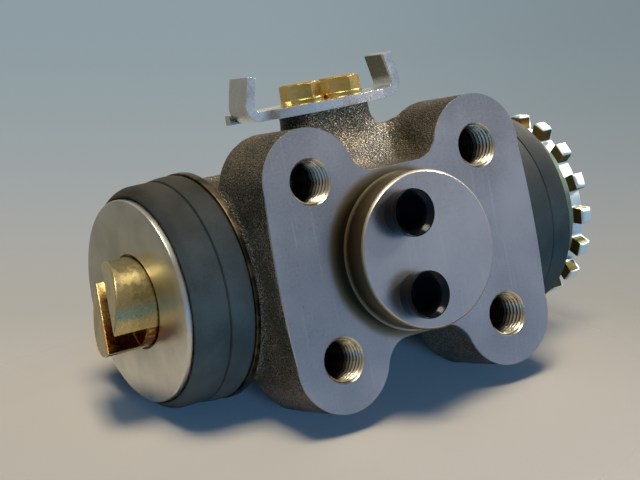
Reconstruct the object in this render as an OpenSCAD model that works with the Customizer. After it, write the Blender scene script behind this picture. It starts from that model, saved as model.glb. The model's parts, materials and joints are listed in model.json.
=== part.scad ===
// Wheel cylinder with two opposed pistons, a lobed mounting flange and a star wheel adjuster.
// Frame: origin at the centre of the mounting face, on the spigot axis.
// +X runs along the bore to the star wheel, +Z to the turret, and the mounting face looks along -Y.

/* [Mounting flange] */
// Spacing of the tapped holes along the bore
hole_span_x = 53.2; // [48:0.2:60]
// Spacing of the tapped holes across the bore
hole_span_z = 46; // [42:0.5:52]
// Radius of each corner lobe
lobe_r = 13.8; // [12:0.2:15]
// Depth of each lobe behind the mounting face
lobe_depth = 25; // [22:0.5:28]
// Rounding of the rear edge of each lobe
lobe_round = 4.5; // [1:0.25:6]
// Half height of the flange at its waist
waist_half = 21.8; // [20:0.1:23]
// Fillet between the waist and each lobe
waist_fillet = 6.5; // [4:0.5:9]
// Outward bow of the two straight sides
side_bow = 1; // [0.6:0.1:2]
// How far the web between the lobes stops short of their rear
web_step = 3; // [1:0.5:6]
// Core radius of the tapped mounting holes
tap_r = 5.1; // [4:0.1:6]
// Width of the lead-in chamfer round each mounting hole
tap_chamfer = 1.2; // [0.6:0.1:1.6]
// Depth of the tapped mounting holes
tap_depth = 18; // [14:0.5:20]

/* [Spigot and ports] */
// Radius of the locating spigot
spigot_r = 20.6; // [18:0.1:21]
// Height of the spigot over the mounting face
spigot_h = 8; // [5:0.5:10]
// Chamfer on the spigot's edge
spigot_chamfer = 0.6; // [0.2:0.1:1]
// Offset of the two ports from the spigot axis, along the bore
port_x = -5.9; // [-7:0.1:0]
// Offset of each port from the spigot axis, across the bore
port_z = 10.6; // [9:0.1:11]
// Core radius of each port
port_r = 5.9; // [5:0.1:6.5]
// Depth of each port below the spigot face
port_depth = 14; // [12:0.5:18]
// Radius of the drilling from each port to the bore
feed_r = 2; // [1.5:0.1:3]

/* [Cylinder] */
// Distance of the bore axis behind the mounting face
axis_y = 40.4; // [38:0.2:44]
// Bore diameter
bore_d = 38.1; // [34:0.1:40]
// Wall of the barrel
barrel_wall = 8.8; // [7:0.1:10]
// Step from the barrel up to the end collars
collar_step = 2.8; // [2:0.1:4]
// Distance of each collar's outer face beyond the flange's side
collar_out = 1.6; // [1:0.1:5]
// Width of each machined collar
collar_w = 2.2; // [1.5:0.1:4]
// Height of each machined collar over the cast flare beside it
collar_lip = 0.6; // [0.3:0.1:1]
// Length of the flare between the barrel and each collar
flare_l = 5; // [3:0.5:8]
// Wall of the turned boot seats at the two ends
seat_wall = 6.4; // [5:0.1:7]
// Length of each boot seat beyond its collar
seat_l = 8; // [6:0.25:9]
// Lead-in chamfer at each mouth of the bore
mouth_chamfer = 1; // [0.5:0.1:1.5]

/* [Turret] */
// Distance of the turret axis behind the mounting face
turret_y = 29.6; // [28:0.2:32]
// Rise of the turret's top over the barrel
turret_rise = 12; // [10:0.25:14]
// Radius of the rounded ends of the turret
turret_r = 7; // [6.2:0.1:8]
// Lean of the turret towards the mounting face, in degrees
turret_lean = 3; // [0:0.5:8]
// Spacing of the two plate bolts
bolt_span = 12.4; // [12.2:0.1:14]
// Half length of the cast saddle that carries the turret
saddle_half = 16.5; // [15:0.25:18]
// Distance of the saddle's toe behind the mounting face
saddle_toe = 3; // [2:0.2:6]
// Rise of the saddle over the barrel
saddle_rise = 5.2; // [2:0.2:6]
// Share of the hollow in the saddle's slope, where 0 is a straight ramp
saddle_hollow = 0.65; // [0:0.05:0.9]

/* [Guide plate] */
// Thickness of the plate
plate_t = 2.6; // [2:0.1:3.2]
// Half length of the wide middle of the plate
plate_half_l = 17; // [15:0.25:19]
// Half width of the plate at its middle
plate_half_w = 9.6; // [8:0.1:11]
// Offset of the plate's middle behind its two bolts
plate_offset = 2.6; // [0:0.1:3]
// How much the plate narrows towards each end of its middle
plate_narrowing = 2; // [1:0.1:2.6]
// Distance of the outer face of each ear from the middle
ear_x = 25; // [24:0.1:28]
// Width of each ear
ear_w = 9.4; // [8:0.1:10]
// Width of the flat tongue left behind each ear
tongue_w = 2.4; // [1.5:0.1:2.6]
// Relief slit between each ear and its tongue
tongue_slit = 0.4; // [0.3:0.05:0.6]
// Height of each ear over the underside of the plate
ear_h = 12.2; // [10:0.2:16]
// Inward lean of each ear, in degrees
ear_lean = 13; // [0:1:16]
// Inner radius of the bend at each ear
bend_r = 1.6; // [1:0.1:2.5]

/* [Plate bolts] */
// Nominal radius of the bolts
bolt_r = 3; // [2.5:0.1:3]
// Width of the hexagon head across flats
hex_af = 10; // [9:0.1:10.2]
// Height of the hexagon head
hex_h = 4.2; // [3.5:0.1:5]
// Radius of the flat on top of each hexagon head
hex_top_r = 4.7; // [4:0.1:4.9]
// Radius of each washer
washer_r = 6; // [5.6:0.05:6.05]
// Thickness of each washer
washer_t = 1.4; // [1:0.1:2]
// Clearance of the plate and the washers round the bolts
bolt_gap = 0.2; // [0.1:0.05:0.4]
// Depth of the bolts in the turret
bolt_grip = 11; // [8:0.5:12]
// Turn of each hexagon head, left then right, in degrees
hex_turn = [28, 29]; // [0:1:60]

/* [Pistons] */
// Running clearance between a piston and the bore
piston_gap = 0.05; // [0.02:0.01:0.08]
// Free space from the middle of the bore to each spring seat
spring_half = 14; // [13.5:0.25:16]
// Thickness of each spring seat
seat_t = 2; // [1.5:0.1:2.5]
// Length of each piston cup
cup_l = 5; // [4:0.25:6]
// Thickness of the back of each piston cup
cup_back = 2.5; // [2:0.1:3]
// Wall of the lip of each piston cup
cup_lip = 2.4; // [1.8:0.1:3]
// Radius of the blind bore in the outer end of each piston
guide_r = 10; // [8.5:0.1:10.5]
// Depth of that blind bore in the left piston
guide_l = 24; // [20:0.5:28]
// Length of the inner land of each piston, half that of the outer one
piston_land = 9.5; // [8:0.25:10.5]
// Depth of the relief turned round the middle of each piston
relief_depth = 0.6; // [0.4:0.1:1]

/* [Return spring] */
// Wire diameter of the return spring
wire_d = 2; // [1.6:0.1:2.4]
// Mean radius of the return spring
coil_r = 11.5; // [10:0.1:12.5]
// Number of turns of the return spring
coil_turns = 5; // [4:1:6]
// Clearance of each spring seat in its cup and in the spring
seat_gap = 0.3; // [0.1:0.05:0.5]
// Gap between each end of the spring and its seat
spring_gap = 0.2; // [0.1:0.05:0.4]

/* [Boots and cover discs] */
// Distance of the left cover disc's outer face beyond its collar
left_reach = 18.3; // [17:0.1:21]
// Distance of the right cover disc's outer face beyond its collar
right_reach = 21.4; // [20:0.1:24]
// Thickness of each cover disc
disc_t = 2.3; // [1.5:0.1:2.6]
// How much smaller each cover disc is than the collars, in radius
disc_inset = 3.2; // [2.4:0.1:4]
// Chamfer on the rim of each cover disc
disc_edge = 0.6; // [0.2:0.1:1]
// Distance of the groove in the left boot from its cover disc
left_groove = 8.9; // [7:0.1:10]
// Distance of the groove in the right boot from its cover disc
right_groove = 4.9; // [4.6:0.1:6]
// Depth of that groove
groove_depth = 0.5; // [0.3:0.1:0.8]
// How much the boot falls in radius from the collar to its groove
boot_taper = 1.9; // [1:0.1:2.2]
// Width of the straight bead of the boot beside the collar
boot_bead = 1; // [0.5:0.1:2]
// Wall of the boot's end behind the cover disc
boot_wall = 2.4; // [1.8:0.1:2.6]
// Rounding of the boot's outer shoulder
boot_round = 2.2; // [1.5:0.1:2.4]
// Clearance between a boot and what moves past it
boot_gap = 0.3; // [0.2:0.05:0.5]

/* [Tappet and adjuster] */
// Radius of the slotted heads
head_r = 12.1; // [11.6:0.1:13]
// Stand of the left tappet's middle out of its cover disc
tappet_out = 9.2; // [8.5:0.1:11]
// Slant of the left tappet's end, in degrees
tappet_slant = 17.5; // [10:0.5:18]
// Stand of the tappet's slot floor out of its cover disc
tappet_floor = 3.1; // [2:0.1:4]
// Stand of the adjuster screw's head out of the star wheel
screw_out = 8; // [7:0.25:10]
// Width of the slot for the shoe web
web_slot = 7.4; // [6.6:0.1:7.8]
// Depth of the slot for the shoe web in the adjuster screw
web_slot_depth = 6.5; // [5:0.1:6.8]
// Turn of the left tappet about the bore, in degrees
tappet_turn = -40; // [-60:1:60]
// Chamfer round the adjuster screw's head
head_edge = 1.2; // [0.4:0.1:2]
// Clearance round the left tappet in its cover disc
disc_gap = 0.5; // [0.3:0.05:0.8]
// Running clearance of the tappet, the wheel and the screw
run_gap = 0.05; // [0.02:0.01:0.08]
// End clearance of the tappet in its bore and of the screw's head on the wheel
end_gap = 0.3; // [0.2:0.05:0.5]
// Core radius of the adjuster thread
screw_r = 7; // [5.5:0.1:7.5]
// Length of the screw inside the star wheel and piston
screw_l = 32; // [26:0.5:36]

/* [Star wheel] */
// Number of teeth
teeth = 16; // [14:1:18]
// Radius over the tips of the teeth
tip_r = 27; // [26:0.1:28]
// Radius at the root of the teeth
root_r = 22.8; // [22:0.1:23.5]
// Width of each tooth
tooth_w = 4.4; // [4:0.1:5]
// Thickness of the toothed rim
rim_t = 3.6; // [3:0.1:4.5]
// Distance of the toothed rim from the right cover disc
rim_stand = 4.9; // [4:0.1:6.5]
// Radius of the wheel's hub beside the cover disc
hub_r = 14; // [13:0.1:16]
// Length of the wheel's sleeve inside the right piston
sleeve_l = 18; // [14:0.5:20]
// Turn of the first tooth above the mounting side, in degrees
tooth_turn = 10; // [0:0.1:22]

/* [Port plugs] */
// Clearance of a plug in its port
plug_gap = 0.03; // [0.02:0.01:0.06]
// Stand of each plug out of the spigot face
plug_out = 5; // [3:0.25:6]
// Length of each plug inside its port
plug_in = 9; // [7:0.5:11]
// Wall of each plug
plug_wall = 0.7; // [0.6:0.05:1.4]
// Width of the lip round the mouth of each plug
plug_lip = 0.3; // [0.2:0.05:0.8]
// Height of that lip
plug_lip_h = 1.8; // [1:0.1:2.5]

/* [Hidden] */
$fn = 96;

// Overshoot of every cut through a face
over = 1;
// Depth by which a fillet or bow reaches into the lobe that it meets
sink = 0.3;
// Taper of a drill's point, as height over radius
drill_point = 0.6;
// Slope of the turned-down top of a hexagon head
hex_slope = 0.5;

hole_x = hole_span_x / 2;
hole_z = hole_span_z / 2;
web_depth = lobe_depth - web_step;
side_x = hole_x + lobe_r + side_bow;

bore_r = bore_d / 2;
barrel_r = bore_r + barrel_wall;
collar_r = barrel_r + collar_step;
boot_seat_r = bore_r + seat_wall;
collar_x = side_x + collar_out;
seat_x = collar_x + seat_l;
turret_top = barrel_r + turret_rise;
saddle_top = barrel_r + saddle_rise;

piston_r = bore_r - piston_gap;
cup_x = spring_half + seat_t;
piston_x = cup_x + cup_l;
left_end_x = collar_x + left_reach;
right_end_x = collar_x + right_reach;
left_disc_x = left_end_x - disc_t;
right_disc_x = right_end_x - disc_t;
disc_r = collar_r - disc_inset;

rim_x = right_end_x + rim_stand;
wheel_x = rim_x + rim_t;
screw_head_x = wheel_x + end_gap;

function arc(c, r, a0, a1, n) =
    [for (i = [0 : n]) let (a = a0 + (a1 - a0) * i / n) [c[0] + r * cos(a), c[1] + r * sin(a)]];
function flip_x(points) = [for (i = [len(points) - 1 : -1 : 0]) [-points[i][0], points[i][1]]];
function flip_y(points) = [for (i = [len(points) - 1 : -1 : 0]) [points[i][0], -points[i][1]]];

// Along the bore: a shape drawn round Z is turned to lie round the bore axis
module along_bore() {
    translate([0, axis_y, 0]) rotate([0, 90, 0]) children();
}

// Solid of revolution round the bore from radius and place pairs, at the right end or mirrored
module turned(points, side = 1) {
    along_bore() rotate_extrude() polygon([for (p = points) [p[0], side * p[1]]]);
}

// Into the mounting face at a place on it, with Z running away from the viewer
module into_face(x, z) {
    translate([x, 0, z]) rotate([-90, 0, 0]) children();
}

// At the middle of the turret's top, with Z along the turret
module on_turret() {
    translate([0, turret_y, turret_top]) rotate([turret_lean, 0, 0]) children();
}

// One quarter of the web's outline: the bowed side, then the fillet from the lobe to the waist
function web_quarter() =
    let (r = lobe_r - sink,
         a = side_x - hole_x,
         bow_r = (a * a + hole_z * hole_z - r * r) / (2 * (a - r)),
         bow_end = asin(hole_z / (bow_r - r)),
         fillet_z = waist_half + waist_fillet,
         reach = r + waist_fillet,
         fillet_x = hole_x - sqrt(reach * reach - pow(fillet_z - hole_z, 2)),
         meet = atan2(hole_z - fillet_z, hole_x - fillet_x))
    concat(arc([side_x - bow_r, 0], bow_r, bow_end / 12, bow_end, 5),
        [[hole_x, hole_z]],
        arc([fillet_x, fillet_z], waist_fillet, meet, -90, 6));

module flange_web() {
    quarter = web_quarter();
    upper = concat(quarter, flip_x(quarter));
    translate([0, web_depth, 0]) rotate([90, 0, 0]) linear_extrude(web_depth)
        polygon(concat(upper, flip_y(upper)));
}

module lobe() {
    rotate_extrude() polygon(concat([[0, 0], [lobe_r, 0]],
        arc([lobe_r - lobe_round, lobe_depth - lobe_round], lobe_round, 0, 90, 4),
        [[0, lobe_depth]]));
}

module spigot() {
    rotate_extrude() polygon([[0, over], [spigot_r, over], [spigot_r, spigot_chamfer - spigot_h],
        [spigot_r - spigot_chamfer, -spigot_h], [0, -spigot_h]]);
}

// Barrel with its flared collars and the turned boot seats beyond them
module barrel() {
    half = [[barrel_r, collar_x - collar_w - flare_l], [collar_r - collar_lip, collar_x - collar_w],
        [collar_r, collar_x - collar_w], [collar_r, collar_x], [boot_seat_r, collar_x],
        [boot_seat_r, seat_x], [0, seat_x]];
    turned(concat(half, [for (i = [len(half) - 1 : -1 : 0]) [half[i][0], -half[i][1]]]));
}

// Stadium outline round the two plate bolts
function stadium(r) =
    concat(arc([bolt_span / 2, 0], r, -90, 90, 16), arc([-bolt_span / 2, 0], r, 90, 270, 16));

module turret() {
    height = turret_top - barrel_r / 2;
    on_turret() translate([0, 0, -height]) linear_extrude(height) polygon(stadium(turret_r));
}

// Cast web that rises in a hollow curve from the flange's waist to the turret
module saddle() {
    front = turret_y - turret_r;
    rear = turret_y + turret_r;
    rise = saddle_top - waist_half;
    curve = [for (i = [0 : 6]) let (t = i / 6)
        [saddle_toe + (front - saddle_toe) * t,
         waist_half + rise * t * (1 - saddle_hollow + saddle_hollow * t)]];
    rotate([90, 0, 90]) translate([0, 0, -saddle_half]) linear_extrude(2 * saddle_half)
        polygon(concat([[saddle_toe, 0]], curve,
            [[rear, saddle_top], [axis_y, barrel_r - over], [axis_y, 0]]));
}

module mounting_hole() {
    translate([0, 0, -over]) cylinder(r = tap_r, h = tap_depth + over);
    translate([0, 0, tap_depth]) cylinder(r1 = tap_r, r2 = 0, h = tap_r * drill_point);
    translate([0, 0, -over]) cylinder(r1 = tap_r + tap_chamfer + over, r2 = tap_r, h = tap_chamfer + over);
}

module port_hole() {
    translate([0, 0, -spigot_h - over]) cylinder(r = port_r, h = port_depth + over);
    translate([0, 0, port_depth - spigot_h]) cylinder(r1 = port_r, r2 = 0, h = port_r * drill_point);
    cylinder(r = feed_r, h = axis_y);
}

module bore_cut() {
    along_bore() cylinder(r = bore_r, h = 2 * (seat_x + over), center = true);
    for (side = [-1, 1])
        turned([[0, seat_x + over], [bore_r + mouth_chamfer + over, seat_x + over],
            [bore_r - over, seat_x - mouth_chamfer - over], [0, seat_x - mouth_chamfer - over]], side);
}

module cylinder_body() {
    color([0.20, 0.18, 0.15]) difference() {
        union() {
            barrel();
            flange_web();
            for (sx = [-1, 1], sz = [-1, 1])
                into_face(sx * hole_x, sz * hole_z) lobe();
            into_face(0, 0) spigot();
            saddle();
            turret();
        }
        bore_cut();
        for (sx = [-1, 1], sz = [-1, 1])
            into_face(sx * hole_x, sz * hole_z) mounting_hole();
        for (sz = [-1, 1])
            into_face(port_x, sz * port_z) port_hole();
        for (sx = [-1, 1])
            on_turret() translate([sx * bolt_span / 2, 0, -bolt_grip - over])
                cylinder(r = bolt_r, h = bolt_grip + 2 * over);
    }
}

// Piston with a blind bore in its outer end and a shallow relief round its middle
module piston(side, disc_x, bore_depth) {
    relief_r = piston_r - relief_depth;
    bore_x = disc_x - bore_depth;
    inner = piston_x + piston_land;
    outer = disc_x - 2 * piston_land;
    turned([[0, piston_x], [piston_r, piston_x], [piston_r, inner], [relief_r, inner],
        [relief_r, outer], [piston_r, outer], [piston_r, disc_x],
        [guide_r + run_gap, disc_x], [guide_r + run_gap, bore_x], [0, bore_x - guide_r * drill_point]], side);
}

module left_piston() {
    color([0.72, 0.73, 0.75]) piston(-1, left_disc_x, guide_l);
}

module right_piston() {
    color([0.72, 0.73, 0.75]) piston(1, right_disc_x, screw_l);
}

// Rubber cup: a disc against the piston with a lip towards the spring
module piston_cup(side) {
    lip_r = piston_r - cup_lip;
    turned([[0, piston_x], [piston_r, piston_x], [piston_r, cup_x], [lip_r, cup_x],
        [lip_r, piston_x - cup_back], [0, piston_x - cup_back]], side);
}

module left_piston_cup() {
    color([0.06, 0.06, 0.06]) piston_cup(-1);
}

module right_piston_cup() {
    color([0.06, 0.06, 0.06]) piston_cup(1);
}

// Dished seat that spreads the cup's lip and centres the spring
module spring_seat(side) {
    rim = piston_r - cup_lip - seat_gap;
    nose = coil_r - wire_d / 2 - seat_gap;
    back_x = piston_x - cup_back;
    turned([[0, back_x], [rim, back_x], [rim, spring_half], [nose, spring_half],
        [nose, spring_half - seat_t], [0, spring_half - seat_t]], side);
}

module left_spring_seat() {
    color([0.75, 0.75, 0.76]) spring_seat(-1);
}

module right_spring_seat() {
    color([0.75, 0.75, 0.76]) spring_seat(1);
}

// Coil swept as a tube: rings of points along a helix, closed by a fan at each end
module return_spring() {
    sides = 8;
    steps = 16 * coil_turns;
    half = spring_half - spring_gap - wire_d / 2;
    rings = [for (i = [0 : steps]) let (a = 360 * coil_turns * i / steps, x = half * (2 * i / steps - 1))
        for (j = [0 : sides - 1]) let (b = 360 * j / sides, r = coil_r + wire_d / 2 * cos(b))
            [x + wire_d / 2 * sin(b), axis_y + r * cos(a), r * sin(a)]];
    walls = [for (i = [0 : steps - 1], j = [0 : sides - 1]) let (k = (j + 1) % sides)
        [i * sides + j, i * sides + k, (i + 1) * sides + k, (i + 1) * sides + j]];
    ends = [[for (j = [sides - 1 : -1 : 0]) j], [for (j = [0 : sides - 1]) steps * sides + j]];
    color([0.55, 0.56, 0.58]) polyhedron(rings, concat(walls, ends));
}

// Rubber boot: a sleeve on the boot seat whose outer end turns in behind the cover disc
module boot(side, disc_x, groove) {
    end_x = disc_x - boot_gap;
    groove_x = disc_x - groove;
    base_r = collar_r - boot_gap;
    band_r = base_r - boot_taper;
    inner_r = boot_seat_r + run_gap;
    lip_r = piston_r + boot_gap;
    wall_x = end_x - boot_wall;
    turned(concat([[inner_r, collar_x], [base_r, collar_x], [base_r, collar_x + boot_bead],
            [band_r, groove_x - groove_depth], [band_r - groove_depth, groove_x],
            [band_r, groove_x + groove_depth]],
        arc([band_r - boot_round, end_x - boot_round], boot_round, 0, 90, 5),
        [[lip_r, end_x], [lip_r, wall_x], [inner_r, wall_x]]), side);
}

module left_boot() {
    color([0.13, 0.13, 0.14]) boot(-1, left_disc_x, left_groove);
}

module right_boot() {
    color([0.13, 0.13, 0.14]) boot(1, right_disc_x, right_groove);
}

// Flat disc with a softened rim
module cover_disc(side, disc_x, hole_r) {
    turned([[hole_r, disc_x], [disc_r, disc_x], [disc_r, disc_x + disc_t - disc_edge],
        [disc_r - disc_edge, disc_x + disc_t], [hole_r, disc_x + disc_t]], side);
}

module left_cover_disc() {
    color([0.70, 0.68, 0.62]) cover_disc(-1, left_disc_x, head_r + disc_gap);
}

module right_cover_disc() {
    color([0.70, 0.68, 0.62]) cover_disc(1, right_disc_x, guide_r + disc_gap);
}

// Slot across a head for the web of a brake shoe, from its floor outwards
module shoe_slot(floor_x, side, turn) {
    reach = 2 * head_r;
    along_bore() rotate([0, 0, turn]) translate([0, 0, side * (floor_x + reach / 2)])
        cube([2 * (head_r + over), web_slot, reach], center = true);
}

// Slotted tappet whose end slants along the slot
module left_tappet() {
    out_x = left_end_x + tappet_out;
    reach = 2 * head_r;
    rise = reach * tan(tappet_slant);
    color([0.72, 0.60, 0.28]) difference() {
        turned([[0, left_disc_x - guide_l + end_gap], [guide_r, left_disc_x - guide_l + end_gap],
            [guide_r, left_disc_x + run_gap], [head_r, left_disc_x + run_gap],
            [head_r, out_x + rise], [0, out_x + rise]], -1);
        along_bore() rotate([0, 0, tappet_turn]) rotate([90, 0, 0])
            linear_extrude(2 * reach, center = true)
                polygon([[-reach, rise - out_x], [reach, -rise - out_x], [reach, -out_x - 2 * reach],
                    [-reach, -out_x - 2 * reach]]);
        shoe_slot(left_end_x + tappet_floor, -1, tappet_turn);
    }
}

module adjuster_screw() {
    out_x = screw_head_x + screw_out;
    color([0.72, 0.60, 0.28]) difference() {
        turned([[0, right_disc_x - screw_l + end_gap], [screw_r, right_disc_x - screw_l + end_gap],
            [screw_r, screw_head_x], [head_r, screw_head_x], [head_r, out_x - head_edge],
            [head_r - head_edge, out_x], [0, out_x]]);
        shoe_slot(out_x - web_slot_depth, 1, 0);
    }
}

// Adjuster wheel: a hub and sleeve that turn in the piston, and square teeth round the rim
module star_wheel() {
    tooth_l = tip_r - root_r + over;
    color([0.62, 0.66, 0.52]) difference() {
        union() {
            turned([[0, right_disc_x - sleeve_l], [guide_r, right_disc_x - sleeve_l],
                [guide_r, right_end_x + run_gap], [hub_r, right_end_x + run_gap], [hub_r, rim_x],
                [root_r, rim_x], [root_r, wheel_x], [0, wheel_x]]);
            intersection() {
                turned([[0, rim_x], [tip_r, rim_x], [tip_r, wheel_x], [0, wheel_x]]);
                along_bore() for (i = [0 : teeth - 1])
                    rotate([0, 0, -90 + tooth_turn + 360 * i / teeth])
                        translate([root_r - over, -tooth_w / 2, rim_x])
                            cube([tooth_l + over, tooth_w, rim_t]);
            }
        }
        along_bore() translate([0, 0, right_disc_x - sleeve_l - over])
            cylinder(r = screw_r + run_gap, h = wheel_x - right_disc_x + sleeve_l + 2 * over);
    }
}

// Section of one ear: flat arm, bend and leaning tab
function ear_section() =
    let (outer = bend_r + plate_t,
         c = [ear_x - outer, outer],
         rise = (ear_h - outer * (1 + sin(ear_lean))) / cos(ear_lean),
         up = [-sin(ear_lean) * rise, cos(ear_lean) * rise],
         out_arc = arc(c, outer, -90, ear_lean, 10),
         in_arc = arc(c, bend_r, ear_lean, -90, 10))
    concat([[bolt_span / 2, 0]], out_arc, [out_arc[10] + up, in_arc[0] + up], in_arc,
        [[bolt_span / 2, plate_t]]);

module guide_plate() {
    edge = [for (i = [-6 : 6]) let (x = plate_half_l * i / 6)
        [x, plate_narrowing * pow(i / 6, 2) - plate_half_w]];
    color([0.78, 0.79, 0.80]) on_turret() difference() {
        translate([0, plate_offset, 0]) {
            linear_extrude(plate_t) polygon(concat(edge, flip_y(edge)));
            translate([-ear_x, ear_w / 2 + tongue_slit, 0]) cube([2 * ear_x, tongue_w, plate_t]);
            for (side = [0, 1])
                mirror([side, 0, 0]) rotate([90, 0, 0])
                    linear_extrude(ear_w, center = true) polygon(ear_section());
        }
        for (sx = [-1, 1])
            translate([sx * bolt_span / 2, 0, -over]) cylinder(r = bolt_r + bolt_gap, h = plate_t + 2 * over);
    }
}

// Hexagon bolt with a turned-down top, standing on its washer
module plate_bolt(turn) {
    hex_r = hex_af / 2 / cos(30);
    base = plate_t + washer_t;
    translate([0, 0, -bolt_grip]) cylinder(r = bolt_r - run_gap, h = bolt_grip + base + over);
    intersection() {
        translate([0, 0, base]) rotate([0, 0, turn]) cylinder(r = hex_r, h = hex_h, $fn = 6);
        translate([0, 0, base]) rotate_extrude()
            polygon([[0, 0], [hex_r + over, 0],
                [hex_r + over, hex_h - (hex_r + over - hex_top_r) * hex_slope],
                [hex_top_r, hex_h], [0, hex_h]]);
    }
}

module plate_bolts() {
    color([0.66, 0.56, 0.22]) on_turret() {
        translate([-bolt_span / 2, 0, 0]) plate_bolt(hex_turn[0]);
        translate([bolt_span / 2, 0, 0]) plate_bolt(hex_turn[1]);
    }
}

module plate_washers() {
    color([0.75, 0.68, 0.45]) on_turret() for (sx = [-1, 1])
        translate([sx * bolt_span / 2, 0, plate_t]) difference() {
            cylinder(r = washer_r, h = washer_t);
            translate([0, 0, -over]) cylinder(r = bolt_r + bolt_gap, h = washer_t + 2 * over);
        }
}

// Hollow plug with an open, lipped mouth and a closed inner end
module port_plug(z) {
    r = port_r - plug_gap;
    mouth = -spigot_h - plug_out;
    tip = plug_in - spigot_h;
    into_face(port_x, z) rotate_extrude() polygon([[0, tip], [r - plug_wall, tip], [r, tip - plug_wall],
        [r, mouth + plug_lip_h], [r + plug_lip, mouth + plug_lip_h], [r + plug_lip, mouth],
        [r - plug_wall, mouth], [r - plug_wall, tip - plug_wall], [0, tip - plug_wall]]);
}

module upper_port_plug() {
    color([0.03, 0.03, 0.03]) port_plug(port_z);
}

module lower_port_plug() {
    color([0.03, 0.03, 0.03]) port_plug(-port_z);
}

cylinder_body();
left_piston();
right_piston();
left_piston_cup();
right_piston_cup();
left_spring_seat();
right_spring_seat();
return_spring();
left_boot();
right_boot();
left_cover_disc();
right_cover_disc();
left_tappet();
adjuster_screw();
star_wheel();
guide_plate();
plate_bolts();
plate_washers();
upper_port_plug();
lower_port_plug();
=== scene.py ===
import bpy
import bmesh
import json
import math
import numpy as np
from itertools import product
from mathutils import Matrix, Vector


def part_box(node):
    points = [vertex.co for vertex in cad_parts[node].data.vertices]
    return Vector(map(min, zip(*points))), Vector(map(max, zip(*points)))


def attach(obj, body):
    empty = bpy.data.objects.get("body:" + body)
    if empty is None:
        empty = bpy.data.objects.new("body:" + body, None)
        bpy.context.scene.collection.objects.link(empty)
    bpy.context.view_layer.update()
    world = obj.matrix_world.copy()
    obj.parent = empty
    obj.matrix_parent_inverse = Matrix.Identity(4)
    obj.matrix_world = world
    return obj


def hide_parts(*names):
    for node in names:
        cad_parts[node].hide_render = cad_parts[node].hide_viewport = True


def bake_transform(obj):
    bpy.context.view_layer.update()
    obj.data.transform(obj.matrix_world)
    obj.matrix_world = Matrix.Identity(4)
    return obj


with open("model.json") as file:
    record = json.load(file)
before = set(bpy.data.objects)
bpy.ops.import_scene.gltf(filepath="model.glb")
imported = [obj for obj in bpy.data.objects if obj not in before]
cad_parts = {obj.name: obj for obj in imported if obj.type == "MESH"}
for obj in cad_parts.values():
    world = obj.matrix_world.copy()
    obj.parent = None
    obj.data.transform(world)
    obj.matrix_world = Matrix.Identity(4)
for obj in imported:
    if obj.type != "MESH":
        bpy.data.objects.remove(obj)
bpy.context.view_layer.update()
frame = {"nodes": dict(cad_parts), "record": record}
mm = 0.001
record = frame["record"]
bodyOf = {node: body for body, nodes in record["behaviour"]["bodies"].items() for node in nodes}
slotOf = {row["node"]: row["material_slot"] for row in record["subparts"]}
mountDims = {mount["name"]: mount["dims"] for mount in record["mounts"]}


def boxMm(node):
    low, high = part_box(node)
    return np.array(low) / mm, np.array(high) / mm


boreY = float(boxMm("left_piston")[0][1] + boxMm("left_piston")[1][1]) / 2
holeX = mountDims["flange_bolts"]["spacing_x_mm"] / 2
holeZ = mountDims["flange_bolts"]["spacing_y_mm"] / 2
print("frame loaded with", len(frame["nodes"]), "nodes, bore axis at y =", round(boreY, 2), "mm")


# shader sums

class Wire:
    # an output socket: sums on it add Math nodes
    def __init__(self, finish, socket):
        self.finish = finish
        self.socket = socket

    def sum(self, operation, first, second):
        return self.finish.node("ShaderNodeMath", {"operation": operation}, {0: first, 1: second})

    def __add__(self, other):
        return self.sum("ADD", self, other)

    def __radd__(self, other):
        return self.sum("ADD", other, self)

    def __sub__(self, other):
        return self.sum("SUBTRACT", self, other)

    def __rsub__(self, other):
        return self.sum("SUBTRACT", other, self)

    def __mul__(self, other):
        return self.sum("MULTIPLY", self, other)

    def __rmul__(self, other):
        return self.sum("MULTIPLY", other, self)

    def __pow__(self, other):
        return self.sum("POWER", self, other)


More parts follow.
